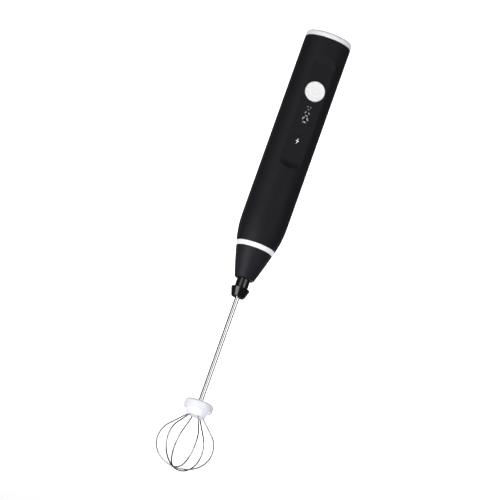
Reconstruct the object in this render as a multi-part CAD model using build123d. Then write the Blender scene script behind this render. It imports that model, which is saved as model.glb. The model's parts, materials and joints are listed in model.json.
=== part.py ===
from build123d import *
import math
import os

# Rechargeable hand-held milk frother, in millimetres.
# It stands on its flat end cap: the origin is the middle of that cap's face, +Z runs up the
# handle to the whisk, and the control panel faces -Y.

os.makedirs("parts", exist_ok=True)

# ---- driving dimensions -------------------------------------------------------------------

# handle, from the end cap up to the nose
handle_r = 14.15
handle_end_z = 134.8        # where the shell meets the trim ring
shoulder_length = 16.0      # the curved stretch between the barrel and the trim ring
shoulder_drop = 2.15        # the shell's radius lost over the shoulder
shell_wall = 1.8
mouth_depth = 11.2          # length of the narrow mouth that takes the nose
mouth_wall = 1.7
edge_round = 0.6

cap_height = 3.4
cap_inset = 0.1             # the cap's radius is this much under the shell's
cap_round = 1.4
spigot_length = 5.6
spigot_wall = 2.5
bead_height = 0.25
bead_length = 1.0

trim_height = 2.8
trim_drop = 0.85
nose_length = 18.3
nose_lip = 1.85             # the nose's end is this much wider than the plug
nose_bulge = 0.2            # how far the nose's side swells past a straight cone
nose_wall = 1.4
nose_round = 1.1
nose_floor = 1.2
spigot_gap = 0.1            # play of every spigot in its bore

# control panel
panel_depth = 1.7           # the flat floor's depth under the barrel's front
panel_low_z = 15.4
panel_high_z = 85.8
panel_ramp = 4.8
panel_wall = 1.5
panel_edge_round = 2.0      # softens the edge where the panel meets the barrel
button_z = 36.8
button_r = 6.0
button_gap = 0.4            # between the button and its hole
button_rise = 0.9           # the button's height over the panel floor
button_travel = 0.3
button_tab_reach = 1.6      # how far the retaining tabs reach behind the shell
button_tab_width = 5.4      # half-width of the retaining tabs
button_tab = 0.7
switch_size = 4.6
switch_height = 0.9
plunger_r = 1.2
speed_led_gap = 4.6         # from the button's edge to the first speed lamp
speed_led_pitch = 3.8
speed_led_count = 3
charge_led_z = 65.6
guide_r = 0.6
guide_flange_r = 1.1

# cell and boards
cell_r = 9.1
cell_length = 65.0
cell_nub = 0.8
cell_nub_r = 3.0
cell_low_z = 15.6
tab_thickness = 0.2
tab_half_width = 2.5
board_drop = 2.4            # from the panel's inner face to the board
board_thickness = 1.0
board_margin = 1.6          # from the middle of a board screw to the board's edge
board_low_z = 19.0
board_notch = 1.6
board_notch_length = 3.0
led_height = 0.6
charge_board_thickness = 1.0
charge_board_play = 0.4
port_half_width = 4.47
port_half_height = 1.63
port_recess = 0.8
port_play = 0.2
port_wall = 0.3
tongue_half_width = 3.34
tongue_half_height = 0.35

# carrier that holds the cell, the motor and the boards
carrier_wall = 1.2
rib = 1.5
cell_play = 0.2
screw_r = 0.8
screw_head_r = 1.5
screw_head = 0.9
screw_clearance = 0.15      # between a board screw's head and the shell

# motor
motor_r = 10.2
motor_flat = 7.7            # half the distance over the can's flats
motor_wall = 0.8
motor_length = 30.2
motor_play = 0.2            # between the can's front and the carrier's wall
carrier_front = 2.0
bell_flange = 1.2
damper_play = 0.05
shaft_r = 1.0
bush_r = 2.5
armature_length = 16.0
air_gap = 0.45
commutator_r = 2.6
running_gap = 0.05          # radial clearance of a shaft in its bush

# drive socket and the whisk head
socket_wall = 1.2
socket_neck_r = 3.4
socket_rise = 1.6           # from the carrier's front to the socket
socket_grip = 8.0           # length of shaft inside the socket
socket_sink = 6.5           # from the nose's end down to the socket's mouth
socket_floor = 1.5
hex_flats = 5.0
hex_play = 0.1
hex_sink = 16.0             # from the nose's end down to the hexagon's floor
hex_length = 4.6
plug_r = 4.0
plug_play = 0.06
plug_show = 5.7             # the bare stem between the nose and the collar
collar_height = 5.8
collar_flare = 1.75         # the collar's wide end over the stem's radius
collar_taper = 1.6
collar_round = 0.4
rod_r = 1.4
rod_depth = 20.0            # how far the rod reaches down into the plug
rod_show = 67.0             # the bare rod between the collar and the hub
hub_flange_height = 4.9
hub_flange_r = 8.8
hub_height = 8.9
rod_cover = 2.0             # hub left between the rod's end and the hub's end face
hub_neck_r = 6.8
hub_end_r = 5.8
hub_round = 0.9

# whisk wires
wire_d = 0.8
wire_gap = 0.02
wire_exit_r = 4.9           # where a loop leaves the hub's end face
wire_max_r = 17.2
wire_max_height = 18.0      # height of the widest point over the hub's end face
wire_side_r = 13.7          # bend radius of the loop's side
wire_low_pole = 31.8        # height of the innermost loop's pole over the hub's end face
wire_embed = 2.4
wire_phase = 22.0           # the first loop's turn about Z
wire_count = 3

lead_d = 0.8
lead_bend = 2.4
lead_bell_gap = 0.4          # between a motor lead and the end bell

# ---- places worked out from the sizes above -------------------------------------------------

bore_r = handle_r - shell_wall
outside = 2 * handle_r                       # well clear of the handle
shoulder_start_z = handle_end_z - shoulder_length
step_z = handle_end_z - mouth_depth
shell_end_r = handle_r - shoulder_drop
mouth_r = shell_end_r - mouth_wall
trim_high_z = handle_end_z + trim_height
nose_base_r = shell_end_r - trim_drop
nose_high_z = trim_high_z + nose_length
nose_end_r = plug_r + nose_lip
spigot_high_z = cap_height + spigot_length
carrier_r = bore_r - 0.2
carrier_low_z = spigot_high_z + 0.1
carrier_high_z = step_z - 0.2
panel_y = panel_depth - handle_r
panel_inner_y = panel_y + panel_wall
board_top_y = panel_inner_y + board_drop
board_y = board_top_y + board_thickness      # the face of the board next to the cell
cell_y = board_y + cell_play + cell_r
button_tab_length = button_r + button_gap + button_tab_reach
first_led_z = button_z + button_r + speed_led_gap
speed_led_z = [first_led_z + speed_led_pitch * order for order in range(speed_led_count)]
charge_board_z = spigot_high_z + 0.2
charge_board_r = carrier_r - carrier_wall - charge_board_play
cell_high_z = cell_low_z + cell_length
motor_high_z = carrier_high_z - carrier_front - motor_play
motor_low_z = motor_high_z - motor_length
lead_z = motor_low_z - bell_flange - lead_bell_gap - lead_d / 2
board_high_z = lead_z - lead_bend            # the board ends where the leads' bend begins
armature_r = motor_flat - motor_wall - air_gap
bell_pocket_r = motor_flat - 2.4
socket_r = plug_r + socket_wall
socket_low_z = carrier_high_z + socket_rise
socket_high_z = nose_high_z - socket_sink
hex_low_z = nose_high_z - hex_sink
hex_high_z = hex_low_z + hex_length
socket_cup_z = hex_low_z - socket_floor
plug_low_z = hex_low_z + 0.3
collar_low_z = nose_high_z + plug_show
collar_high_z = collar_low_z + collar_height
collar_r = plug_r + collar_flare
collar_end_r = collar_r - collar_taper
hub_low_z = collar_high_z + rod_show
hub_end_z = hub_low_z + hub_height
plug_bore_r = plug_r + plug_play
bearing_high_z = nose_high_z - nose_floor - 1.0
bearing_low_z = bearing_high_z - 3.0
post_x = 7.4
post_r = 1.8
head_reach = math.sqrt((bore_r - screw_clearance) ** 2 - (board_top_y - screw_head) ** 2)
board_screw_x = head_reach - screw_head_r
board_half_width = board_screw_x + board_margin
board_screw_z = board_high_z - 1.8
motor_screw_x = 5.5
terminal_x = 3.6


# ---- helpers ----------------------------------------------------------------------------------

def disc(radius, low, high, x=0.0, y=0.0):
    """An upright cylinder between two heights."""
    return Pos(x, y, low) * Cylinder(radius, high - low, align=(Align.CENTER, Align.CENTER, Align.MIN))


def ring(outer, inner, low, high):
    """An upright tube between two heights."""
    return disc(outer, low, high) - disc(inner, low - 1, high + 1)


def block(x, y, z):
    """A box from its low and high value on each axis."""
    size = [high - low for low, high in (x, y, z)]
    corner = (Align.MIN, Align.MIN, Align.MIN)
    return Pos(x[0], y[0], z[0]) * Box(size[0], size[1], size[2], align=corner)


def turned(points):
    """A solid of revolution about Z from its (radius, height) outline."""
    outline = make_face(Polyline(*points, close=True))
    return revolve(Plane.XZ * outline, Axis.Z)


def peg(radius, x, z, front, back):
    """A cylinder along Y between its front and back."""
    return Pos(x, front, z) * Rot(-90, 0, 0) * Cylinder(
        radius, back - front, align=(Align.CENTER, Align.CENTER, Align.MIN))


def tube_along(points, bends, diameter):
    """A round lead along straight runs joined by tangent arcs."""
    if bends:
        path = FilletPolyline(*points, radius=bends)
    else:
        path = Line(points[0], points[-1])
    start = Plane(origin=path @ 0, z_dir=path % 0)
    return sweep(start * Circle(diameter / 2), path=path)


def can_outline(shrink, low, high):
    """The motor can's flatted round, smaller by a given amount all round."""
    round_part = disc(motor_r - shrink, low, high)
    half = motor_flat - shrink
    return round_part & block((-outside, outside), (-half, half), (low, high))


def nose_r(z):
    """The radius at a height of the straight cone inside the nose's slightly swollen side."""
    return nose_base_r - (nose_base_r - nose_end_r) * (z - trim_high_z) / nose_length


def save(name, shape):
    """Write one node's STEP file."""
    export_step(shape, os.path.join("parts", name + ".step"))


# ---- handle -----------------------------------------------------------------------------------

def shoulder_arc():
    """The shell's tangent shoulder, from the barrel to its narrow end."""
    rise = handle_end_z - shoulder_start_z
    arc_r = (rise ** 2 + shoulder_drop ** 2) / (2 * shoulder_drop)
    half_angle = math.asin(rise / arc_r) / 2
    middle_r = handle_r - arc_r * (1 - math.cos(half_angle))
    middle = (middle_r, shoulder_start_z + arc_r * math.sin(half_angle))
    return ThreePointArc((handle_r, shoulder_start_z), middle, (shell_end_r, handle_end_z))


def panel_cut():
    """What the control panel takes off the barrel: a flat with a curved ramp at each end."""
    depth = handle_r + panel_y
    deep = depth + 1.0
    ramp_r = (panel_ramp ** 2 + depth ** 2) / (2 * depth)
    flat_low = panel_low_z + panel_ramp
    flat_high = panel_high_z - panel_ramp
    reach = math.sqrt(ramp_r ** 2 - (ramp_r - deep) ** 2)
    floor = panel_y
    turn = math.radians(12)
    bend = (ramp_r * math.sin(turn), ramp_r * (1 - math.cos(turn)))
    top = floor - deep
    outline = [
        Line((floor, flat_low), (floor, flat_high)),
        ThreePointArc((floor, flat_high), (floor - bend[1], flat_high + bend[0]), (top, flat_high + reach)),
        Line((top, flat_high + reach), (top, flat_low - reach)),
        ThreePointArc((top, flat_low - reach), (floor - bend[1], flat_low - bend[0]), (floor, flat_low)),
    ]
    face = Plane.YZ * make_face(outline)
    return extrude(face, 2 * handle_r, both=True)


def panel_edges(shell):
    """The closed run of edges where the panel cuts the barrel's outside."""
    found = []
    for edge in shell.edges():
        points = [edge @ place for place in (0.0, 0.5, 1.0)]
        on_barrel = all(abs(math.hypot(p.X, p.Y) - handle_r) < 0.001 for p in points)
        if on_barrel and all(p.Y < panel_y + 0.001 and p.Z < panel_high_z for p in points):
            found.append(edge)
    return found


def button_opening(radius, front, back):
    """A round of the button's hole along Y."""
    return peg(radius, 0, button_z, front, back)


def handle_shell():
    """The one-piece handle tube with its panel, its narrow mouth and its holes."""
    outline = [
        Line((bore_r, cap_height), (handle_r - edge_round, cap_height)),
        Line((handle_r - edge_round, cap_height), (handle_r, cap_height + edge_round)),
        Line((handle_r, cap_height + edge_round), (handle_r, shoulder_start_z)),
        shoulder_arc(),
        Line((shell_end_r, handle_end_z), (mouth_r, handle_end_z)),
        Line((mouth_r, handle_end_z), (mouth_r, step_z)),
        Line((mouth_r, step_z), (bore_r, step_z)),
        Line((bore_r, step_z), (bore_r, cap_height)),
    ]
    shell = revolve(Plane.XZ * make_face(outline), Axis.Z)
    pad = disc(bore_r + 0.5, panel_low_z - 1, panel_high_z + 1)
    pad = pad & block((-outside, outside), (-outside, panel_inner_y), (0, handle_end_z))
    shell = shell + pad
    shell = shell - panel_cut()
    shell = fillet(panel_edges(shell), panel_edge_round)
    shell = shell - button_opening(button_r + button_gap, -outside, 0)
    for z in speed_led_z + [charge_led_z]:
        shell = shell - peg(guide_r, 0, z, -outside, 0)
    bead_z = spigot_high_z - 1.6
    shell = shell - ring(bore_r + bead_height, bore_r - 1, bead_z, bead_z + bead_length)
    nose_bead_z = step_z + 3.0
    shell = shell - ring(mouth_r + bead_height, mouth_r - 1, nose_bead_z, nose_bead_z + bead_length)
    return shell


def port_slot(grow, low, high):
    """A rounded slot of the charging port's section, larger by a given amount."""
    half_height = port_half_height + grow
    straight = 2 * (port_half_width + grow) - 2 * half_height
    section = SlotCenterToCenter(straight, 2 * half_height)
    return Pos(0, 0, low) * extrude(section, high - low)


def end_cap():
    """The white end cap with its spigot, its screw posts and the port's slot."""
    cap_r = handle_r - cap_inset
    body = fillet(disc(cap_r, 0, cap_height).edges().group_by(Axis.Z)[0], cap_round)
    spigot_r = bore_r - spigot_gap
    body = body + ring(spigot_r, spigot_r - spigot_wall, cap_height, spigot_high_z)
    bead_z = spigot_high_z - 1.6
    body = body + ring(spigot_r + bead_height, spigot_r - 1, bead_z, bead_z + bead_length)
    for side in (-1, 1):
        body = body + disc(post_r, cap_height, charge_board_z, side * post_x)
        body = body - disc(screw_r, charge_board_z - 4, charge_board_z + 1, side * post_x)
    seal_low = cap_height + 0.8
    body = body - ring(bore_r + 1, spigot_r - 1.0, seal_low, seal_low + 1.6)
    return body - port_slot(port_play, -1, cap_height + 1)


def end_cap_seal():
    """The rubber ring in the spigot's groove."""
    seal_low = cap_height + 0.8
    return ring(bore_r, bore_r - spigot_gap - 1.0, seal_low, seal_low + 1.6)


def trim_ring():
    """The white ring between the shell and the nose."""
    inner = mouth_r - spigot_gap
    soft = 0.15
    return turned([
        (inner, handle_end_z), (shell_end_r - soft, handle_end_z), (shell_end_r, handle_end_z + soft),
        (nose_base_r, trim_high_z - soft), (nose_base_r - soft, trim_high_z), (inner, trim_high_z)])


def nose_cone():
    """The black nose with its spigot, its hollow and the recesses for seal and bearing."""
    spigot_r = mouth_r - spigot_gap
    spigot_low = step_z + 2.6
    inner_r = spigot_r - 1.6
    rest_r = nose_r(bearing_low_z) - nose_wall
    half_z = trim_high_z + nose_length / 2
    outline = [
        Polyline((0, nose_high_z), (0, spigot_low), (spigot_r, spigot_low), (spigot_r, trim_high_z),
                 (nose_base_r - 0.15, trim_high_z), (nose_base_r, trim_high_z + 0.15)),
        ThreePointArc((nose_base_r, trim_high_z + 0.15), (nose_r(half_z) + nose_bulge, half_z),
                      (nose_end_r, nose_high_z)),
        Line((nose_end_r, nose_high_z), (0, nose_high_z))]
    outer = revolve(Plane.XZ * make_face(outline), Axis.Z)
    rim = outer.edges().filter_by(GeomType.CIRCLE).sort_by(Axis.Z)[-1]
    outer = fillet(rim, nose_round)
    hollow = turned([
        (0, spigot_low - 1), (inner_r, spigot_low - 1), (inner_r, trim_high_z + 1), (rest_r, bearing_low_z),
        (0, bearing_low_z)])
    nose_bead_z = step_z + 3.0
    bead = ring(spigot_r + bead_height, spigot_r - 1, nose_bead_z, nose_bead_z + bead_length)
    body = outer + bead - hollow
    body = body - disc(plug_r + 1.2, bearing_low_z - 1, bearing_high_z)
    body = body - disc(plug_r + 1.0, bearing_high_z - 0.1, bearing_high_z + 1.0)
    return body - disc(plug_r + 0.35, bearing_high_z, nose_high_z + 1)


def nose_bearing():
    """The plain bush that steadies the whisk head's plug."""
    return ring(plug_r + 1.2, plug_bore_r, bearing_low_z, bearing_high_z)


def nose_seal():
    """The lip ring that keeps milk out of the nose."""
    return ring(plug_r + 1.0, plug_bore_r, bearing_high_z, bearing_high_z + 1.0)


# ---- carrier ------------------------------------------------------------------------------------

def carrier_gap(low, high):
    """The carrier's side of the board plane, over a stretch of its length."""
    return block((-outside, outside), (board_y, outside), (low, high))


def inner_carrier():
    """The trough that holds the cell, the boards and the motor, with its ribs."""
    rib_z = [13.0, 19.0, 34.0, 49.0, 64.0]
    mid_low = board_high_z - 3.0
    mid_high = board_high_z
    front_low = carrier_high_z - carrier_front
    trough_r = carrier_r - carrier_wall
    body = ring(carrier_r, trough_r, carrier_low_z, carrier_high_z)
    for z in rib_z:
        body = body + disc(carrier_r, z, z + rib)
    body = body + disc(carrier_r, mid_low, mid_high)
    body = body + disc(carrier_r, front_low, carrier_high_z)
    body = body & carrier_gap(0, handle_end_z)
    body = body - disc(cell_r + cell_play, cell_low_z - 0.1, mid_low, 0, cell_y)
    body = body - block((-4.5, 4.5), (-outside, 7.5), (mid_low - 1, mid_high + 1))
    body = body - block((-4.5, 4.5), (-outside, -5.0), (carrier_low_z, mid_low))
    body = body - disc(trough_r, mid_high, front_low)
    body = body - disc(3.2, front_low - 1, carrier_high_z + 1)
    for side in (-1, 1):
        body = body + pcb_hook(side)
        body = body - peg(screw_r, side * board_screw_x, board_screw_z, -outside, board_y + 4.0)
        body = body - disc(1.05, front_low - 1, carrier_high_z + 1, side * motor_screw_x)
    return body


def pcb_hook(side):
    """The hook that holds the board's lower end on one side."""
    inner = board_half_width - board_notch + 0.1
    outer = board_half_width - 0.1
    low = board_low_z
    high = board_low_z + rib
    over = board_top_y - 0.1
    stem = block(sorted((side * inner, side * outer)), (over - 0.7, board_y + 1), (low, high))
    lip = block(sorted((side * (inner - 1.0), side * outer)), (over - 0.7, over), (low, high))
    return (stem + lip) & disc(carrier_r, low, high)


def motor_damper():
    """The rubber sleeve between the motor can and the carrier."""
    low = motor_low_z + 8
    high = low + 12
    sleeve = disc(carrier_r - carrier_wall - damper_play, low, high)
    sleeve = sleeve & block((-outside, outside), (board_y + 0.3, outside), (low, high))
    return sleeve - can_outline(-damper_play, low - 1, high + 1)


# ---- cell -----------------------------------------------------------------------------------------

def battery_cell():
    """The wrapped cylindrical cell with its positive nub."""
    wrap = disc(cell_r, cell_low_z, cell_high_z - cell_nub, 0, cell_y)
    ends = wrap.edges().filter_by(GeomType.CIRCLE)
    wrap = fillet(ends, 0.5)
    return wrap + disc(cell_nub_r, cell_high_z - cell_nub - 0.1, cell_high_z, 0, cell_y)


def battery_tab(low, leg_high):
    """A nickel tab: a strip over one end of the cell and a leg up to the board's inner face."""
    leg_y = (board_y, board_y + 0.15)
    strip = block((-tab_half_width, tab_half_width), (board_y, cell_y + 4), (low, low + tab_thickness))
    leg = block((-tab_half_width, tab_half_width), leg_y, (low, leg_high))
    return strip + leg


# ---- boards ---------------------------------------------------------------------------------------

def main_board():
    """The long board under the panel, narrower at its lower end, with its screw holes."""
    y_span = (board_top_y, board_y)
    board = block((-board_half_width, board_half_width), y_span, (board_low_z, board_high_z))
    for side in (-1, 1):
        edge = sorted((side * (board_half_width - board_notch), side * outside))
        board = board - block(edge, (-outside, 0), (0, board_low_z + board_notch_length))
        board = board - peg(screw_r + 0.1, side * board_screw_x, board_screw_z, -outside, 0)
    return board


def tact_switch():
    """The switch body under the button, open for its plunger."""
    half = switch_size / 2
    y_span = (board_top_y - switch_height, board_top_y)
    body = block((-half, half), y_span, (button_z - half, button_z + half))
    return body - button_opening(plunger_r + 0.3, -outside, board_top_y - 0.2)


def switch_plunger():
    """The switch's plunger, which travels with the button."""
    back = board_top_y - 0.2 - button_travel - 0.1
    return button_opening(plunger_r, button_tab_back(), back)


def button_tab_back():
    """The inner face of the button's retaining tabs."""
    return panel_inner_y + button_travel + button_tab


def power_button():
    """The white round button with a raised rim, a dished face and its retaining tabs."""
    front = panel_y - button_rise
    cap = button_opening(button_r, front, button_tab_back())
    rim = cap.edges().filter_by(GeomType.CIRCLE).group_by(Axis.Y)[0]
    cap = fillet(rim, 0.35)
    cap = cap - button_opening(button_r - 0.75, front - 1, front + 0.18)
    tab = block(
        (-button_tab_width, button_tab_width), (panel_inner_y + button_travel, button_tab_back()),
        (button_z - button_tab_length, button_z + button_tab_length))
    return cap + tab


def led(z):
    """One surface-mounted lamp on the board."""
    return block((-0.8, 0.8), (board_top_y - led_height, board_top_y), (z - 0.4, z + 0.4))


def light_guide(z):
    """One stepped clear pin that carries a lamp's light to the panel."""
    stem = peg(guide_r, 0, z, panel_y - 0.02, panel_inner_y + 0.1)
    return stem + peg(guide_flange_r, 0, z, panel_inner_y, board_top_y - led_height - 0.2)


def chip(x, z, width, length, height):
    """A packaged chip lying on the board."""
    y_span = (board_top_y - height, board_top_y)
    return block((x - width / 2, x + width / 2), y_span, (z - length / 2, z + length / 2))


def capacitors():
    """The small ceramic capacitors, one solid each."""
    spots = [(-5.6, 24.0), (5.6, 24.0), (-5.4, 60.0), (5.4, 60.0), (-5.4, 69.0), (5.4, 69.0)]
    return Compound(children=[chip(x, z, 0.9, 1.7, 0.8) for x, z in spots])


def screw(length):
    """A small pan-head screw, head up, with its shank along -Z from the origin."""
    head = fillet(disc(screw_head_r, 0, screw_head).edges().group_by(Axis.Z)[-1], 0.3)
    slot = block((-1.0, 1.0), (-0.2, 0.2), (screw_head - 0.4, 2))
    cross = slot + Rot(0, 0, 90) * slot
    return head - cross + disc(screw_r, -length, 0)


def board_screws():
    """The two screws through the main board into the carrier."""
    body = screw(4.5)
    places = [Pos(side * board_screw_x, board_top_y, board_screw_z) * Rot(90, 0, 0) for side in (-1, 1)]
    return Compound(children=[place * body for place in places])


def charge_board_screws():
    """The two screws through the charging board into the end cap's posts."""
    body = screw(4.2)
    top = charge_board_z + charge_board_thickness
    return Compound(children=[Pos(side * post_x, 0, top) * body for side in (-1, 1)])


def motor_screws():
    """The two screws through the carrier's front wall into the motor can."""
    body = screw(2.6)
    return Compound(children=[Pos(side * motor_screw_x, 0, carrier_high_z) * body for side in (-1, 1)])


def charge_board():
    """The round board that carries the charging socket."""
    low = charge_board_z
    high = low + charge_board_thickness
    board = disc(charge_board_r, low, high)
    for side in (-1, 1):
        board = board - disc(screw_r + 0.1, low - 1, high + 1, side * post_x)
    return board


def usb_socket():
    """The socket's folded steel shell, open downwards through the end cap."""
    shell = port_slot(0, port_recess, charge_board_z)
    return shell - port_slot(-port_wall, port_recess - 1, charge_board_z - 1.5)


def usb_tongue():
    """The socket's contact tongue."""
    x_span = (-tongue_half_width, tongue_half_width)
    y_span = (-tongue_half_height, tongue_half_height)
    return block(x_span, y_span, (port_recess + 0.7, charge_board_z - 1.5))


# ---- motor ------------------------------------------------------------------------------------------

def motor_can():
    """The flatted steel can, open at the back, with its front boss and screw holes."""
    can = can_outline(0, motor_low_z, motor_high_z)
    can = can - can_outline(motor_wall, motor_low_z - 1, motor_high_z - motor_wall)
    can = can + disc(bush_r + 0.6, motor_high_z - 0.2, motor_high_z + 1.4)
    can = can - disc(bush_r, motor_high_z - 2, motor_high_z + 3)
    for side in (-1, 1):
        can = can - disc(screw_r, motor_high_z - 2, motor_high_z + 1, side * motor_screw_x)
    return can


def motor_end_bell():
    """The moulded rear cover with its spigot inside the can, the bush's seat and brush slots."""
    low = motor_low_z - bell_flange
    spigot_high = motor_low_z + 3.0
    bell = can_outline(0.2, low, motor_low_z)
    bell = bell + can_outline(motor_wall, motor_low_z, spigot_high)
    bell = bell - disc(bell_pocket_r, motor_low_z + 0.6, spigot_high + 1)
    bell = bell + disc(bush_r + 1, low, motor_low_z + 1.4)
    bell = bell - disc(bush_r, low - 1, spigot_high)
    for side in (-1, 1):
        x_span = sorted((side * (terminal_x - 0.2), side * (terminal_x + 0.2)))
        bell = bell - block(x_span, (-1, 1), (low - 1, motor_low_z + 0.6))
    return bell


def motor_bushes():
    """The two sintered bushes of the motor shaft."""
    rear = ring(bush_r, shaft_r + running_gap, motor_low_z - bell_flange, motor_low_z + 1.4)
    front = ring(bush_r, shaft_r + running_gap, motor_high_z - 0.8, motor_high_z + 1.4)
    return Compound(children=[rear, front])


def motor_magnets():
    """The two arc magnets inside the can's round sides."""
    outer_r = motor_r - motor_wall
    inner_r = armature_r + air_gap
    low = motor_low_z + 8
    high = low + armature_length + 3
    arcs = []
    for side in (-1, 1):
        x_span = sorted((side * 1.5, side * outside))
        half_y = motor_flat - motor_wall - 0.3
        arcs.append(ring(outer_r, inner_r, low, high) & block(x_span, (-half_y, half_y), (low, high)))
    return Compound(children=arcs)


def motor_brushes():
    """The two spring brushes beside the commutator, held in the end bell."""
    half_width = 0.9
    inner = commutator_r + running_gap
    outer = math.sqrt(bell_pocket_r ** 2 - half_width ** 2)
    low = motor_low_z + 1.6
    x_span = (-half_width, half_width)
    pair = [block(x_span, sorted((side * inner, side * outer)), (low, low + 1.4)) for side in (-1, 1)]
    return Compound(children=pair)


def motor_terminals():
    """The two solder blades behind the end bell."""
    low = motor_low_z - bell_flange - 2.2
    pair = []
    for side in (-1, 1):
        x_span = sorted((side * (terminal_x - 0.2), side * (terminal_x + 0.2)))
        pair.append(block(x_span, (-1, 1), (low, motor_low_z + 0.6)))
    return Compound(children=pair)


def motor_shaft():
    """The armature's shaft, up into the drive socket."""
    return disc(shaft_r, motor_low_z - bell_flange + 0.3, socket_low_z + socket_grip)


def armature_core():
    """The three-pole laminated core."""
    low = motor_low_z + 9.5
    high = low + armature_length
    core = disc(armature_r, low, high)
    for turn in (0, 120, 240):
        slot = block((2.6, armature_r - 1.2), (-3.0, 3.0), (low - 1, high + 1))
        mouth = block((armature_r - 2, armature_r + 1), (-0.6, 0.6), (low - 1, high + 1))
        core = core - Rot(0, 0, turn) * (slot + mouth)
    return core - disc(shaft_r, low - 1, high + 1)


def armature_windings():
    """The copper coils, which fill the core's slots, one solid in each."""
    low = motor_low_z + 8.5
    high = low + armature_length + 2
    coil = block((2.8, armature_r - 1.4), (-2.8, 2.8), (low, high))
    return Compound(children=[Rot(0, 0, turn) * coil for turn in (0, 120, 240)])


def commutator():
    """The copper commutator behind the core."""
    low = motor_low_z + 1.5
    return ring(commutator_r, shaft_r, low, low + 5.5)


def hexagon_bar(flats, low, high):
    """An upright hexagonal bar from its width over flats."""
    section = RegularPolygon(flats / 2, 6, major_radius=False)
    return Pos(0, 0, low) * extrude(section, high - low)


def drive_socket():
    """The driver on the motor shaft, with the hexagon and round bore that take the plug."""
    body = disc(socket_neck_r, socket_low_z, socket_cup_z) + disc(socket_r, socket_cup_z, socket_high_z)
    body = body - disc(shaft_r, socket_low_z - 1, socket_low_z + socket_grip)
    body = body - hexagon_bar(hex_flats + 2 * hex_play, hex_low_z, hex_high_z + 1)
    return body - disc(plug_bore_r, hex_high_z - 0.2, socket_high_z + 1)


# ---- whisk head ---------------------------------------------------------------------------------------

def whisk_plug():
    """The glossy plug: a hexagon tip, a round stem and the tapered collar."""
    tip = hexagon_bar(hex_flats, plug_low_z, hex_high_z + 1)
    stem = disc(plug_r, hex_high_z + 0.2, collar_low_z + 1)
    collar = turned([
        (0, collar_low_z), (collar_r - collar_round, collar_low_z), (collar_r, collar_low_z + collar_round),
        (collar_end_r, collar_high_z - collar_round), (collar_end_r - collar_round, collar_high_z),
        (0, collar_high_z)])
    body = tip + stem + collar
    return body - disc(rod_r, collar_high_z - rod_depth, collar_high_z + 1)


def whisk_rod():
    """The steel rod between the plug and the hub."""
    return disc(rod_r, collar_high_z - rod_depth, hub_end_z - rod_cover)


def loop_path(pole):
    """The centreline of one loop whose pole is at a height over the hub's end face."""
    side_x = wire_max_r - wire_side_r
    side_z = wire_max_height
    drop = pole - wire_side_r
    crown_z = (drop ** 2 - side_x ** 2 - side_z ** 2) / (2 * (drop - side_z))
    crown_r = pole - crown_z
    lean = math.atan2(side_x, side_z - crown_z)
    joint = (crown_r * math.sin(lean), crown_z + crown_r * math.cos(lean))
    span = math.hypot(side_x - wire_exit_r, side_z)
    reach = math.sqrt(span ** 2 - wire_side_r ** 2)
    heading = math.atan2(side_z, side_x - wire_exit_r) - math.asin(wire_side_r / span)
    step = (math.cos(heading), math.sin(heading))
    touch = (wire_exit_r + reach * step[0], reach * step[1])
    root = (wire_exit_r - wire_embed * step[0], -wire_embed * step[1])
    widest = (wire_max_r, side_z)
    right = [Line(root, touch), ThreePointArc(touch, widest, joint)]
    crown = ThreePointArc(joint, (0, pole), (-joint[0], joint[1]))
    left = [
        ThreePointArc((-joint[0], joint[1]), (-wire_max_r, side_z), (-touch[0], touch[1])),
        Line((-touch[0], touch[1]), (-root[0], root[1]))]
    return Wire(right + [crown] + left)


def whisk_wire(index, pole):
    """One closed balloon loop, turned about Z by its place in the set."""
    path = Plane.XZ * loop_path(pole)
    start = Plane(origin=path @ 0, z_dir=path % 0)
    wire = sweep(start * Circle(wire_d / 2), path=path)
    return Pos(0, 0, hub_end_z) * Rot(0, 0, wire_phase + index * 180 / wire_count) * wire


def whisk_hub(wires):
    """The white stepped hub, with the rod's bore and the sockets of the wires."""
    flange_high = hub_low_z + hub_flange_height
    soft = 0.3
    body = turned([
        (0, hub_low_z), (hub_flange_r - hub_round, hub_low_z), (hub_flange_r, hub_low_z + hub_round),
        (hub_flange_r, flange_high - soft), (hub_flange_r - soft, flange_high), (hub_neck_r, flange_high),
        (hub_end_r, hub_end_z - soft), (hub_end_r - soft, hub_end_z), (0, hub_end_z)])
    body = body - disc(rod_r, hub_low_z - 1, hub_end_z - rod_cover)
    for wire in wires:
        body = body - wire
    return body


# ---- write every node -----------------------------------------------------------------------------------

save("handle_shell", handle_shell())
save("end_cap", end_cap())
save("end_cap_seal", end_cap_seal())
save("trim_ring", trim_ring())
save("nose_cone", nose_cone())
save("nose_bearing", nose_bearing())
save("nose_seal", nose_seal())
save("inner_carrier", inner_carrier())
save("motor_damper", motor_damper())

save("battery_cell", battery_cell())
save("battery_tab_positive", battery_tab(cell_high_z, board_high_z - 0.5))
save("battery_tab_negative", battery_tab(cell_low_z - tab_thickness, board_low_z + 3.0))

save("main_board", main_board())
save("tact_switch", tact_switch())
save("controller_chip", chip(0, 73.0, 4.0, 5.0, 1.5))
save("charger_chip", chip(0, button_z - button_tab_length - 3.1, 3.0, 3.0, 1.1))
save("motor_driver", chip(0, 79.5, 4.0, 3.4, 1.2))
save("board_capacitors", capacitors())
for number, z in enumerate(speed_led_z, start=1):
    save(f"speed_led_{number}", led(z))
    save(f"speed_light_guide_{number}", light_guide(z))
save("charge_led", led(charge_led_z))
save("charge_light_guide", light_guide(charge_led_z))
save("board_screws", board_screws())

save("charge_board", charge_board())
save("charge_board_screws", charge_board_screws())
save("usb_socket", usb_socket())
save("usb_tongue", usb_tongue())

save("motor_can", motor_can())
save("motor_end_bell", motor_end_bell())
save("motor_bushes", motor_bushes())
save("motor_magnets", motor_magnets())
save("motor_brushes", motor_brushes())
save("motor_terminals", motor_terminals())
save("motor_screws", motor_screws())

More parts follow.
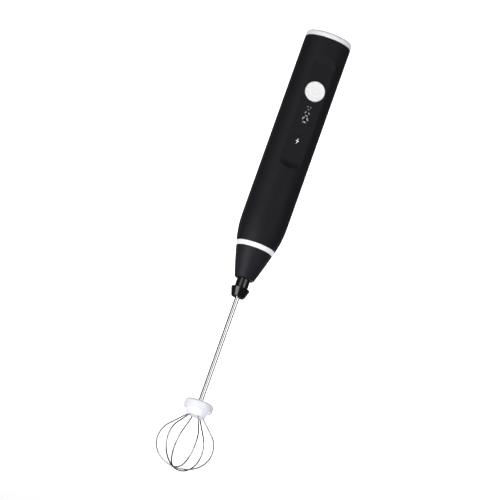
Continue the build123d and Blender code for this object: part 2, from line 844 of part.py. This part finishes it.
lead_y = board_top_y - lead_d / 2
for name, side in (("positive", 1), ("negative", -1)):
    motor_route = [
        (side * terminal_x, -1.0, lead_z), (side * terminal_x, lead_y, lead_z),
        (side * terminal_x, lead_y, board_high_z - 3.5)]
    save(f"motor_lead_{name}", tube_along(motor_route, lead_bend, lead_d))
    charge_route = [
        (side * 2.2, lead_y, charge_board_z + charge_board_thickness),
        (side * 2.2, lead_y, board_low_z + 3.0)]
    save(f"charge_lead_{name}", tube_along(charge_route, None, lead_d))

save("motor_shaft", motor_shaft())
save("armature_core", armature_core())
save("armature_windings", armature_windings())
save("commutator", commutator())
save("drive_socket", drive_socket())

save("power_button", power_button())
save("switch_plunger", switch_plunger())

wire_poles = [wire_low_pole + order * (wire_d + wire_gap) for order in (1, 0, 2)]
whisk_wires = [whisk_wire(index, pole) for index, pole in enumerate(wire_poles)]
save("whisk_plug", whisk_plug())
save("whisk_rod", whisk_rod())
save("whisk_hub", whisk_hub(whisk_wires))
for number, wire in enumerate(whisk_wires, start=1):
    save(f"whisk_wire_{number}", wire)
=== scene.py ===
# %% [markdown]
# # A rechargeable milk frother
#
# The CAD model already holds every part at its real place and size. This lesson dresses it: each part gets the
# finish of its real material, and the printed marks and the button's face are built as fine surfaces with numpy.
# The frother stands on its end cap at the origin, +Z runs up the handle to the whisk, and the control panel faces
# -Y. Everything is in metres, so small sizes are written in millimetres times MM.

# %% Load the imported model
import json
import math

import bmesh
import bpy
import numpy as np
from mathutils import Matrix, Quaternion, Vector


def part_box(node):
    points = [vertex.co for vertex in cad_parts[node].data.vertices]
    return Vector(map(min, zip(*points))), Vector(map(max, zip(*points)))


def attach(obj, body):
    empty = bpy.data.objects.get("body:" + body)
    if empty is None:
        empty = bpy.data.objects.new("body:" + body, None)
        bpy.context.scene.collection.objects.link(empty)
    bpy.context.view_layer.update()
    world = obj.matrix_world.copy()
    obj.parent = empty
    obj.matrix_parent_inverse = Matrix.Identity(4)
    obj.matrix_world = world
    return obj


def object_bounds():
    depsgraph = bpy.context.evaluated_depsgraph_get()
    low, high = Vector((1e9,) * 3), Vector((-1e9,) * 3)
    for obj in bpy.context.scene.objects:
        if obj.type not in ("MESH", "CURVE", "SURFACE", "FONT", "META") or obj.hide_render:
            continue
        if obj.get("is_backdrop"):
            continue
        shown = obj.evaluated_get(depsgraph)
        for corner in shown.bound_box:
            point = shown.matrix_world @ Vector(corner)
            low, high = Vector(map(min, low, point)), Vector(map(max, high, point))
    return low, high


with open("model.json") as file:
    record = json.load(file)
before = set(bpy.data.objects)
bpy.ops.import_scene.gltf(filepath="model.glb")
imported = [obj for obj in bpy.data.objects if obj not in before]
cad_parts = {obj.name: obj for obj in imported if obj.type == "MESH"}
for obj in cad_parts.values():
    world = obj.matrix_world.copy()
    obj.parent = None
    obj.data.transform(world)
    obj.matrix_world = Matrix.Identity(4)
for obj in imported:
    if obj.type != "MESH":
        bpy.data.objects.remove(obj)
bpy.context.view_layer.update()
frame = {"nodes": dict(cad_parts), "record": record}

MM = 0.001

# %% [markdown]
# ## Camera
#
# The frother is shown hanging whisk down, as it is held in use, while the model stands whisk up. So the camera is
# a long way off with a long lens, a little above the object and to its right, and it is rolled most of the way
# over. A long lens keeps the slim handle's edges parallel.

# %% Place the camera
CAMERA_AZIMUTH = 11.0        # degrees round from the front towards +X
CAMERA_AWAY = 4.0            # distance from the object's axis, in metres
CAMERA_HEIGHT = 0.98         # metres
CAMERA_ROLL = 199.6          # degrees
FIELD_WIDTH = 0.2960         # what the view spans at the object, in metres
AIM_HEIGHT = 137.9 * MM
AIM_ASIDE = 2.4 * MM         # the view's middle lies a little beside the axis
SENSOR = 36.0                # millimetres

camera_data = bpy.data.cameras.new("camera")
camera = bpy.data.objects.new("camera", camera_data)
bpy.context.scene.collection.objects.link(camera)
bpy.context.scene.camera = camera
azimuth = math.radians(CAMERA_AZIMUTH)
camera.location = (CAMERA_AWAY * math.sin(azimuth), -CAMERA_AWAY * math.cos(azimuth), CAMERA_HEIGHT)
aim = Vector((AIM_ASIDE * math.cos(azimuth), AIM_ASIDE * math.sin(azimuth), AIM_HEIGHT))
sight = aim - camera.location
camera.rotation_mode = "QUATERNION"
camera.rotation_quaternion = sight.to_track_quat("-Z", "Y") @ Quaternion((0, 0, 1), math.radians(CAMERA_ROLL))
camera_data.sensor_width = SENSOR
camera_data.lens = SENSOR * sight.length / FIELD_WIDTH
camera_data.clip_start = 0.05
camera_data.clip_end = 60
bpy.context.scene.view_settings.view_transform = "Standard"
print("lens in mm:", round(camera_data.lens))

# %% [markdown]
# ## Helpers for materials
#
# Colours are written as the sRGB hex values that a paint chart would give, and turned to linear light in one
# place. One function adds a node, sets its options and fills or links its inputs, so each material below reads
# as a recipe. A second function starts a material with its surface shader.

# %% Colour and node helpers
def linear(hex_colour):
    """sRGB hex to linear RGBA: c / 12.92 below 0.04045, else ((c + 0.055) / 1.055) to the power 2.4."""
    srgb = np.array([int(hex_colour[i:i + 2], 16) for i in (1, 3, 5)]) / 255
    light = np.where(srgb <= 0.04045, srgb / 12.92, ((srgb + 0.055) / 1.055) ** 2.4)
    return (*light.tolist(), 1.0)


def add(tree, kind, inputs=None, **options):
    """Adds one node. options are its own settings; inputs are values, or sockets to link from."""
    made = tree.nodes.new("ShaderNode" + kind)
    for name, value in options.items():
        setattr(made, name, value)
    for name, value in (inputs or {}).items():
        if isinstance(value, bpy.types.NodeSocket):
            tree.links.new(value, made.inputs[name])
        else:
            made.inputs[name].default_value = value
    return made


def new_material(name, shader_values):
    """A node material with its surface shader, whose plain values are set on the shader's own sockets."""
    material = bpy.data.materials.new(name)
    material.use_nodes = True
    tree = material.node_tree
    tree.nodes.clear()
    shader = add(tree, "BsdfPrincipled", {key.replace("_", " "): v for key, v in shader_values.items()})
    add(tree, "OutputMaterial", {"Surface": shader.outputs["BSDF"]})
    return material, tree, shader


def spread_of(tree, pattern, middle, spread):
    """Turns a pattern, which stays mostly between 0.3 and 0.7, into middle minus spread to middle plus spread."""
    return add(tree, "MapRange", {
        "Value": pattern, "From Min": 0.3, "From Max": 0.7,
        "To Min": middle - spread, "To Max": middle + spread}).outputs["Result"]


# %% [markdown]
# ## Plastics
#
# A moulded plastic isn't one flat colour. The tool leaves a fine texture, handling polishes some areas more than
# others, and the pigment is never quite even. So each plastic has a fine grain in its bump, a slow variation in
# its roughness, and a slight second tone. Only the sizes and strengths differ from one plastic to the next, so
# one recipe serves them all.

# %% The plastic recipe
def plastic(name, tones, rough, grain_mm, relief_um, patch_mm=9.0, **shader_values):
    """Colour is one tone blended into another by a slow noise, roughness swings by the same noise, and the bump is
    a fine noise whose cells are grain_mm wide and relief_um high. Real grain is 0.05 to 0.2 mm, which is too fine
    to show, so grain_mm is several times coarser."""
    material, tree, shader = new_material(name, shader_values)
    place = add(tree, "TexCoord").outputs["Object"]
    patches = add(tree, "TexNoise", {"Vector": place, "Scale": 1 / (patch_mm * MM), "Detail": 3.0})
    grain = add(tree, "TexNoise", {"Vector": place, "Scale": 1 / (grain_mm * MM), "Detail": 1.0})
    blend = add(tree, "Mix", {
        0: patches.outputs["Fac"], 6: linear(tones[0]), 7: linear(tones[1])}, data_type="RGBA")
    relief = add(tree, "Bump", {"Height": grain.outputs["Fac"], "Distance": relief_um * 1e-6})
    tree.links.new(blend.outputs[2], shader.inputs["Base Color"])
    tree.links.new(spread_of(tree, patches.outputs["Fac"], *rough), shader.inputs["Roughness"])
    tree.links.new(relief.outputs["Normal"], shader.inputs["Normal"])
    return material


# %% [markdown]
# The handle is ABS with a soft-touch polyurethane coat: nearly black, very even, and with a wide dull sheen. The
# nose is the same black moulded bare, with a satin spark texture that catches more light. The plug is polished
# ABS and mirrors the studio's lights in narrow bands. The white parts are ABS too, and the whisk's hub is nylon,
# which is a little duller. The lamps sit behind smoked acrylic so dark that each looks like an open hole.

# %% The plastics
# Each line reads: slot, material, two tones, (middle roughness, its swing), grain in mm, relief in micrometres,
# and where it isn't 9 mm, the width of the slow patches in mm.
finishes = {
    "soft_black": plastic(
        "soft_touch_coating", ("#131216", "#16151a"), (0.60, 0.04), 0.9, 10, Specular_IOR_Level=0.28),
    "satin_black": plastic(
        "spark_textured_abs", ("#17161b", "#1b1a20"), (0.56, 0.04), 0.7, 12, Specular_IOR_Level=0.30),
    "gloss_black": plastic("polished_abs_black", ("#0d0d0f", "#101012"), (0.16, 0.03), 2.5, 2, IOR=1.53),
    "white_plastic": plastic("moulded_abs_white", ("#f8f8f9", "#f4f4f6"), (0.34, 0.05), 1.0, 4, IOR=1.5),
    "button_white": plastic("semi_gloss_abs_white", ("#fbfaf6", "#f7f6f2"), (0.28, 0.05), 1.0, 3, IOR=1.5),
    "hub_white": plastic("moulded_nylon_white", ("#f2f2f6", "#eeeef2"), (0.42, 0.05), 0.9, 6, IOR=1.52),
    "marking_silver": plastic("pad_printed_silver_ink", ("#8c8f96", "#9ea1a8"), (0.45, 0.08), 0.25, 3, 0.8),
    "marking_white": plastic("pad_printed_white_ink", ("#e6e8ea", "#f3f4f5"), (0.45, 0.08), 0.25, 3, 0.8),
    "guide_smoke": plastic("smoked_acrylic", ("#020203", "#040405"), (0.18, 0.04), 1.0, 1, Specular_IOR_Level=0.08),
    "seal_rubber": plastic("moulded_silicone_rubber", ("#2c2c2c", "#333333"), (0.66, 0.06), 0.6, 12, IOR=1.41),
    "bearing_white": plastic("moulded_acetal", ("#e9e8e2", "#e2e1da"), (0.38, 0.05), 0.8, 5, IOR=1.48),
    "carrier_grey": plastic("moulded_pp_grey", ("#8b8d90", "#808285"), (0.48, 0.06), 0.7, 12, IOR=1.49),
    "bell_black": plastic("glass_filled_nylon", ("#2a2a2b", "#343435"), (0.55, 0.08), 0.5, 18, IOR=1.53),
    "cell_wrap": plastic("pvc_shrink_wrap", ("#17628f", "#1b6c9c"), (0.24, 0.08), 2.4, 30, IOR=1.54),
    "board_green": plastic("solder_mask_on_fibreglass", ("#0d5a30", "#12683a"), (0.26, 0.06), 0.6, 10, 1.6),
    "chip_black": plastic("moulded_epoxy", ("#262627", "#2f2f30"), (0.62, 0.06), 0.25, 8, 2.0),
    "capacitor_tan": plastic("fired_ceramic", ("#a98a63", "#b79a72"), (0.5, 0.08), 0.2, 8, 1.0),
    "led_white": plastic("clear_epoxy_lamp", ("#f0ecd2", "#e6dfb4"), (0.2, 0.05), 0.5, 3, 0.8),
    "ferrite": plastic("ground_ferrite", ("#37373a", "#434346"), (0.56, 0.1), 0.4, 14, 3.0),
    "lead_red": plastic("extruded_silicone_red", ("#b01c1c", "#bd2624"), (0.5, 0.06), 0.6, 8, IOR=1.41),
    "lead_black": plastic("extruded_silicone_black", ("#222222", "#2a2a2a"), (0.5, 0.06), 0.6, 8, IOR=1.41),
}
print(len(finishes), "plastics, inks and rubbers")

# %% [markdown]
# ## Metals
#
# Drawn wire and ground rod carry fine lines from the die or the wheel. A noise that is drawn out along the metal's
# length and read into the roughness gives the streaky highlight of such a surface, and a very low bump keeps it
# from looking like chrome.

# %% The metal recipe
def metal(name, tones, rough, line_mm, stretch, relief_um=0.2):
    """Streaks are a noise whose coordinates are multiplied by stretch, axis by axis, so that a number under 1 draws
    it out along that axis and one over 1 packs it. They sway the colour, the roughness and the bump."""
    material, tree, shader = new_material(name, {"Metallic": 1.0})
    place = add(tree, "TexCoord").outputs["Object"]
    squeezed = add(tree, "Mapping", {"Vector": place, "Scale": stretch})
    streaks = add(tree, "TexNoise", {
        "Vector": squeezed.outputs["Vector"], "Scale": 1 / (line_mm * MM), "Detail": 2.0})
    blend = add(tree, "Mix", {
        0: streaks.outputs["Fac"], 6: linear(tones[0]), 7: linear(tones[1])}, data_type="RGBA")
    relief = add(tree, "Bump", {"Height": streaks.outputs["Fac"], "Distance": relief_um * 1e-6})
    tree.links.new(blend.outputs[2], shader.inputs["Base Color"])
    tree.links.new(spread_of(tree, streaks.outputs["Fac"], *rough), shader.inputs["Roughness"])
    tree.links.new(relief.outputs["Normal"], shader.inputs["Normal"])
    return material


# %% The metals
# Each line reads: slot, material, two tones, (middle roughness, its swing), width of the lines in mm, stretch, and
# where it isn't 0.2, relief in micrometres. The shaft's lines run round it, and the others' run along Z.
ALONG_Z = (1, 1, 0.05)
EVEN = (1, 1, 1)
finishes.update({
    "rod_steel": metal("ground_stainless_rod", ("#dcdbd8", "#cfcecb"), (0.12, 0.03), 0.5, ALONG_Z),
    "wire_steel": metal("drawn_stainless_wire", ("#b2b1af", "#a3a2a0"), (0.24, 0.04), 1.0, (1, 1, 0.3)),
    "socket_steel": metal("stamped_socket_steel", ("#b9b8b6", "#a9a8a6"), (0.30, 0.06), 0.6, (1, 1, 0.2)),
    "nickel": metal("rolled_nickel_strip", ("#c2bcae", "#b3ad9f"), (0.32, 0.06), 0.3, (1, 1, 0.1)),
    "switch_steel": metal("stamped_switch_cover", ("#b5b5b3", "#a3a3a1"), (0.34, 0.06), 0.4, EVEN),
    "screw_steel": metal("zinc_plated_screw", ("#b9bab8", "#a5a6a4"), (0.30, 0.08), 0.4, EVEN, 1.0),
    "can_steel": metal("zinc_plated_can", ("#bdbdbb", "#aeaeac"), (0.36, 0.08), 1.5, EVEN, 1.0),
    "sintered_bronze": metal("sintered_bronze", ("#b08a4e", "#9a7740"), (0.48, 0.1), 0.15, EVEN, 4.0),
    "brush_copper": metal("pressed_copper_graphite", ("#8a5a44", "#6f4a3a"), (0.5, 0.1), 0.2, EVEN, 3.0),
    "shaft_steel": metal("ground_shaft_steel", ("#c4c4c3", "#b2b2b1"), (0.2, 0.05), 0.3, (1, 1, 8)),
})
print(len(finishes), "finishes so far")

# %% [markdown]
# Two metals inside the motor are built up rather than cut: the core is a stack of thin laminations and the coils
# are turns of enamelled wire. Evenly spaced bands draw both, with the pitch worked out from the real sheet and
# wire, 0.5 mm and 0.25 mm.

# %% Laminations and windings
def banded_metal(name, tones, rough, pitch_mm, direction, relief_um):
    """Sine bands along one axis, pitch_mm apart. The wave texture's phase is 20 times its scaled coordinate, so the
    scale is 2 pi over 20 times the pitch."""
    material, tree, shader = new_material(name, {"Metallic": 1.0})
    place = add(tree, "TexCoord").outputs["Object"]
    bands = add(tree, "TexWave", {
        "Vector": place, "Scale": 2 * math.pi / (20 * pitch_mm * MM), "Distortion": 0.3},
        bands_direction=direction)
    blend = add(tree, "Mix", {
        0: bands.outputs["Fac"], 6: linear(tones[0]), 7: linear(tones[1])}, data_type="RGBA")
    relief = add(tree, "Bump", {"Height": bands.outputs["Fac"], "Distance": relief_um * 1e-6})
    tree.links.new(blend.outputs[2], shader.inputs["Base Color"])
    tree.links.new(spread_of(tree, bands.outputs["Fac"], *rough), shader.inputs["Roughness"])
    tree.links.new(relief.outputs["Normal"], shader.inputs["Normal"])
    return material


finishes["core_steel"] = banded_metal("stacked_laminations", ("#5c5f64", "#8a8d92"), (0.42, 0.05), 0.5, "Z", 30)
finishes["winding_copper"] = banded_metal("enamelled_winding", ("#7a3a1c", "#c8703c"), (0.3, 0.05), 0.25, "X", 40)

# %% [markdown]
# Each CAD node names the slot its finish belongs to, so no node is dressed by hand. Their meshes stay as they are.

# %% Dress the CAD nodes
slot_of = {row["node"]: row["material_slot"] for row in frame["record"]["subparts"]}
for name, part in frame["nodes"].items():
    part.data.materials.clear()
    part.data.materials.append(finishes[slot_of[name]])
print("dressed", len(frame["nodes"]), "nodes with", len(set(slot_of.values())), "finishes")

# %% [markdown]
# ## New pieces as grids
#
# Every new piece here is a closed shell over a grid of two parameters. The grid's rows run along the piece and its
# columns run round it, numpy works out all points at once, and one function turns the grid into faces. Where a
# row shrinks to a point, its columns are merged, so the shell closes there.

# %% From a grid to a piece
def shell(name, body, slot, *grids, close_rows=False):
    """Quads between neighbouring rows and columns of each (rows, columns, 3) grid, the last column joined to the
    first. Doubles are merged and the faces turned outwards."""
    points, faces, first = [], [], 0
    for grid in grids:
        index = first + np.arange(grid.shape[0] * grid.shape[1]).reshape(grid.shape[:2])
        index = np.concatenate([index, index[:, :1]], axis=1)
        if close_rows:
            index = np.concatenate([index, index[:1]], axis=0)
        corners = (index[:-1, :-1], index[1:, :-1], index[1:, 1:], index[:-1, 1:])
        faces.append(np.stack(corners, axis=-1).reshape(-1, 4))
        points.append(grid.reshape(-1, 3))
        first += len(points[-1])
    mesh = bpy.data.meshes.new(name)
    mesh.from_pydata(np.concatenate(points).tolist(), [], np.concatenate(faces).tolist())
    work = bmesh.new()
    work.from_mesh(mesh)
    bmesh.ops.remove_doubles(work, verts=work.verts, dist=1e-7)
    bmesh.ops.recalc_face_normals(work, faces=work.faces)
    work.to_mesh(mesh)
    work.free()
    mesh.shade_smooth()
    mesh.materials.append(finishes[slot])
    piece = bpy.data.objects.new(name, mesh)
    bpy.context.scene.collection.objects.link(piece)
    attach(piece, body)
    return piece


# %% [markdown]
# ## Printed marks on the panel
#
# Three little rotors show the three speeds, each larger than the last, round the holes of the lamps, and a
# lightning bolt shows charging. They are pad-printed: a film of ink some hundredths of a millimetre thick with
# soft edges. Each blade is an oval pill, flat on top and round at its rim.

# %% The speed marks
INK = 0.03 * MM              # half the film's thickness
SUNK = 0.02 * MM             # how far the film's middle lies under the panel's face
BLADE_TURNS = np.radians([90, 210, 330])
BLADE_COLUMNS = 40
BLADE_ROWS = 17
RIM_POWER = 0.35             # under 1 gives the pill a flat top and a full, round rim
panel_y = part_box("speed_light_guide_1")[0].y + SUNK


def blade(centre_z, away, half_long, half_wide, turn):
    """An oval pill at a distance from a lamp. With t from -pi/2 to pi/2, its reach is cos(t) to the rim's power and
    its height is INK times sin(t), and round it the angle a sweeps the ellipse."""
    t, a = np.meshgrid(
        np.linspace(-math.pi / 2, math.pi / 2, BLADE_ROWS),
        np.linspace(0, 2 * math.pi, BLADE_COLUMNS, endpoint=False), indexing="ij")
    reach = np.clip(np.cos(t), 0, None) ** RIM_POWER
    tangent = half_long * reach * np.cos(a)
    radial = away + half_wide * reach * np.sin(a)
    x = radial * math.cos(turn) - tangent * math.sin(turn)
    z = centre_z + radial * math.sin(turn) + tangent * math.cos(turn)
    return np.stack([x, panel_y - INK * np.sin(t), z], axis=-1)


# A blade's distance from the lamp, half its length and half its width, in mm, for each speed.
SPEED_MARKS = ((1.00, 0.62, 0.25), (1.22, 0.86, 0.36), (1.50, 1.16, 0.52))
for number, mark in enumerate(SPEED_MARKS, start=1):
    low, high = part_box(f"speed_led_{number}")
    lamp_z = (low.z + high.z) / 2
    away, half_long, half_wide = (size * MM for size in mark)
    blades = [blade(lamp_z, away, half_long, half_wide, turn) for turn in BLADE_TURNS]
    shell(f"speed_mark_{number}", "handle", "marking_silver", *blades)
    print("speed mark", number, "is at z =", round(lamp_z / MM, 1), "mm")

# %% [markdown]
# The bolt is a ruled surface: its left outline and its right outline are each a run of four points, and straight
# lines join them. Four columns carry those lines round the ink's front and back.

# %% The charging mark
BOLT_OVER_LAMP = 3.2 * MM
charge_low, charge_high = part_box("charge_led")
charge_z = (charge_low.z + charge_high.z) / 2 + BOLT_OVER_LAMP
# The outlines' points (x, z) in mm from the bolt's middle, from its lower tip to its upper one.
BOLT_LEFT = np.array([(-0.32, -1.95), (-0.04, -0.30), (-1.08, -0.30), (0.52, 1.95)])
BOLT_RIGHT = np.array([(-0.32, -1.95), (1.08, 0.10), (0.10, 0.10), (0.52, 1.95)])


def ruled(left, right, front, back, rows=25):
    """Walks both outlines together, by linear interpolation between their points, and joins them front and back."""
    along = np.linspace(0, len(left) - 1, rows)
    at = np.arange(len(left))
    edges = [
        np.stack([np.interp(along, at, side[:, axis]) for axis in (0, 1)], axis=-1)
        for side in (left, right)]
    corners = [(edges[0], front), (edges[1], front), (edges[1], back), (edges[0], back)]
    return np.stack([
        np.stack([edge[:, 0] * MM, np.full(rows, y), charge_z + edge[:, 1] * MM], axis=-1)
        for edge, y in corners], axis=1)


bolt = shell("charge_mark", "handle", "marking_white", ruled(BOLT_LEFT, BOLT_RIGHT, panel_y - INK, panel_y + INK))
bolt.data.shade_flat()
print("the bolt is at z =", round(charge_z / MM, 1), "mm")

# %% [markdown]
# ## The button's face
#
# The button is moulded with a proud rim, which the CAD model has, and inside it a fine step and a power sign in low
# relief. A bump could draw them, but they catch the light at a slant and so are real shapes. One rounded bead,
# carried along a path, makes the step from a whole circle and the sign from most of a circle and a short line.

# %% Beads on the button
button_low, button_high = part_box("power_button")
button_z = (button_low.z + button_high.z) / 2
DISH_DEPTH = 0.18 * MM       # from the button's rim down to its face
dish_y = button_low.y + DISH_DEPTH
BEAD_COLUMNS = 16
BEAD_POWER = 0.7             # under 1 makes the bead's sides steeper than an ellipse's
FADE_POWER = 10              # the higher, the shorter the rounded ends


def bead(path, half_width, height, tapered=True):
    """A pill-shaped section carried along a path of (x, z) points in the button's face. With a running round the
    section, it reaches half_width times cos(a) to BEAD_POWER, with the cosine's own sign, along the path's normal,
    which comes from the path's gradient, and it rises height times sin(a). On an open path u runs from -1 to 1, and
    both are multiplied by the root of 1 minus u to FADE_POWER, so the bead shrinks to a point at each end."""
    if tapered:
        step = np.gradient(path, axis=0)
        u = np.linspace(-1, 1, len(path))
        size = np.sqrt(np.clip(1 - u ** FADE_POWER, 0, None))[:, None]
    else:
        step = np.roll(path, -1, axis=0) - np.roll(path, 1, axis=0)
        size = np.ones((len(path), 1))
    step = step / np.linalg.norm(step, axis=1, keepdims=True)
    a = np.linspace(0, 2 * math.pi, BEAD_COLUMNS, endpoint=False)[None, :]
    side = half_width * np.sign(np.cos(a)) * np.abs(np.cos(a)) ** BEAD_POWER * size
    x = path[:, :1] + side * step[:, 1:]
    z = path[:, 1:] - side * step[:, :1]
    y = dish_y - height * np.sin(a) * size
    return np.stack([x, np.broadcast_to(y, x.shape), button_z + z], axis=-1)


def arc(radius, start, end, count, whole=False):
    """Points on a circle from one angle to another, in degrees from the end cap's side."""
    a = np.radians(np.linspace(start, end, count, endpoint=not whole))
    return np.stack([radius * np.sin(a), -radius * np.cos(a)], axis=-1)


STEP_R = 4.75 * MM
STEP = (0.20 * MM, 0.13 * MM)         # half width and height
SIGN_R = 2.6 * MM
SIGN = (0.28 * MM, 0.15 * MM)
SIGN_GAP = 38                         # degrees either side of the bar
BAR_SPAN = (-3.3, -1.0)               # in mm from the button's middle
STEP_POINTS, SIGN_POINTS, BAR_POINTS = 120, 90, 24
step_ring = bead(arc(STEP_R, 0, 360, STEP_POINTS, whole=True), *STEP, tapered=False)
shell("button_step", "button", "button_white", step_ring, close_rows=True)
sign_ring = bead(arc(SIGN_R, SIGN_GAP, 360 - SIGN_GAP, SIGN_POINTS), *SIGN)
bar_path = np.stack([np.zeros(BAR_POINTS), np.linspace(*BAR_SPAN, BAR_POINTS) * MM], axis=-1)
shell("button_power_sign", "button", "button_white", sign_ring, bead(bar_path, *SIGN))
print("button face is at z =", round(button_z / MM, 1), "mm")

# %% [markdown]
# ## Table
#
# The table is a wide disc of matt white laminate. It glows a little, so that it stays white from every side, and it
# throws no light, shadow or reflection on the frother, which is lit by the lights alone.

# %% The table
TABLE_R = 9.0                # metres
TABLE_INNER_R = 0.02         # the middle is one flat face of this radius
RINGS, SPOKES = 24, 96
angles = np.linspace(0, 2 * math.pi, SPOKES, endpoint=False)
radii = np.geomspace(TABLE_INNER_R, TABLE_R, RINGS)[:, None]
MOTTLE = 0.125               # width of the laminate's faint patches, in metres
grid = np.stack([radii * np.cos(angles), radii * np.sin(angles), np.zeros((RINGS, SPOKES))], axis=-1)
index = np.arange(RINGS * SPOKES).reshape(RINGS, SPOKES)
following = np.roll(index, -1, axis=1)
quads = np.stack([index[:-1], index[1:], following[1:], following[:-1]], axis=-1).reshape(-1, 4)
table_mesh = bpy.data.meshes.new("table_top")
table_mesh.from_pydata(grid.reshape(-1, 3).tolist(), [], quads.tolist() + [index[0].tolist()])
table = bpy.data.objects.new("table_top", table_mesh)
bpy.context.scene.collection.objects.link(table)
table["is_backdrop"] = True
table.visible_glossy = False
table.visible_diffuse = False
table.visible_shadow = False

laminate, tree, shader = new_material("matt_white_laminate", {"Roughness": 0.8, "Emission Strength": 0.8})
place = add(tree, "TexCoord").outputs["Object"]
mottle = add(tree, "TexNoise", {"Vector": place, "Scale": 1 / MOTTLE, "Detail": 2.0})
white = add(
    tree, "Mix", {0: mottle.outputs["Fac"], 6: linear("#fdfdfd"), 7: linear("#ffffff")}, data_type="RGBA")
tree.links.new(white.outputs[2], shader.inputs["Base Color"])
shader.inputs["Emission Color"].default_value = linear("#ffffff")
table_mesh.materials.append(laminate)
print("table top of", len(table_mesh.polygons), "faces")

# %% [markdown]
# ## Backdrop
#
# The camera sees plain white behind the frother. A white room would also wash out its black parts, so every other
# ray meets a nearly dark one.

# %% The backdrop
world = bpy.data.worlds.new("studio")
bpy.context.scene.world = world
world.use_nodes = True
tree = world.node_tree
tree.nodes.clear()
COOL = (0.96, 0.965, 1.0, 1.0)
ROOM = 0.06                  # the studio's dark far walls, which only the object sees
surround = add(tree, "Background", {"Color": COOL, "Strength": ROOM})
backdrop = add(tree, "Background", {"Color": (1, 1, 1, 1), "Strength": 1.0})
seen = add(tree, "MixShader", {
    0: add(tree, "LightPath").outputs["Is Camera Ray"],
    1: surround.outputs["Background"], 2: backdrop.outputs["Background"]})
add(tree, "OutputWorld", {"Surface": seen.outputs["Shader"]})
print("the camera sees white, the object a room of strength", ROOM)

# %% [markdown]
# ## Lights
#
# The key is a large softbox high on one side, and gives the wide highlight on the nose and collar. Two low ones in
# front draw the pair of narrow stripes on the plug and the rod, and two behind edge the shell. White cloth in front,
# overhead and behind at both sides whitens the white parts, but nothing mirrors it.

# %% The lights
LIT_HEIGHT = 0.15            # the lights face this height on the axis, in metres


def softbox(name, azimuth, elevation, width, height, radiance, distance=1.4, mirrored=True):
    """A rectangular light that faces the object's axis, placed by two angles in degrees, its sizes in metres. Its
    power is pi times its area times its radiance. One that isn't mirrored adds to matt shading only."""
    lamp = bpy.data.lights.new(name, "AREA")
    lamp.shape = "RECTANGLE"
    lamp.size, lamp.size_y = width, height
    lamp.energy = math.pi * width * height * radiance
    lamp.color = COOL[:3]
    box = bpy.data.objects.new(name, lamp)
    a, e = math.radians(azimuth), math.radians(elevation)
    towards = Vector((math.sin(a) * math.cos(e), -math.cos(a) * math.cos(e), math.sin(e)))
    box.location = Vector((0, 0, LIT_HEIGHT)) + distance * towards
    box.visible_camera = False
    box.visible_glossy = mirrored
    box.rotation_mode = "QUATERNION"
    box.rotation_quaternion = towards.to_track_quat("Z", "Y")
    bpy.context.scene.collection.objects.link(box)
    print(name, "gives", round(lamp.energy, 1), "W")


softbox("key", 52, 28, 1.05, 1.0, 4.6)
softbox("key_low", 44, -10, 0.9, 0.5, 1.8)
softbox("fill", -31, -9, 0.95, 0.5, 2.7)
softbox("cloth_front", -30, 8, 2.0, 2.0, 0.8, mirrored=False)
softbox("cloth_left", 125, 8, 2.0, 2.0, 0.5, mirrored=False)
softbox("cloth_right", 235, 8, 2.0, 2.0, 0.9, mirrored=False)
softbox("cloth_top", 11, 80, 1.6, 1.6, 1.4, mirrored=False)
softbox("rear_left", 168, -4, 0.7, 0.6, 0.9)
softbox("rear_right", 215, 20, 0.9, 1.0, 1.8)

# %% [markdown]
# Last, the size of the dressed model, new pieces included, is printed.

# %% Print the dressed model's box and finish
low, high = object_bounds()
print("visual box in mm:", [round(v / MM, 1) for v in (*low, *high)])
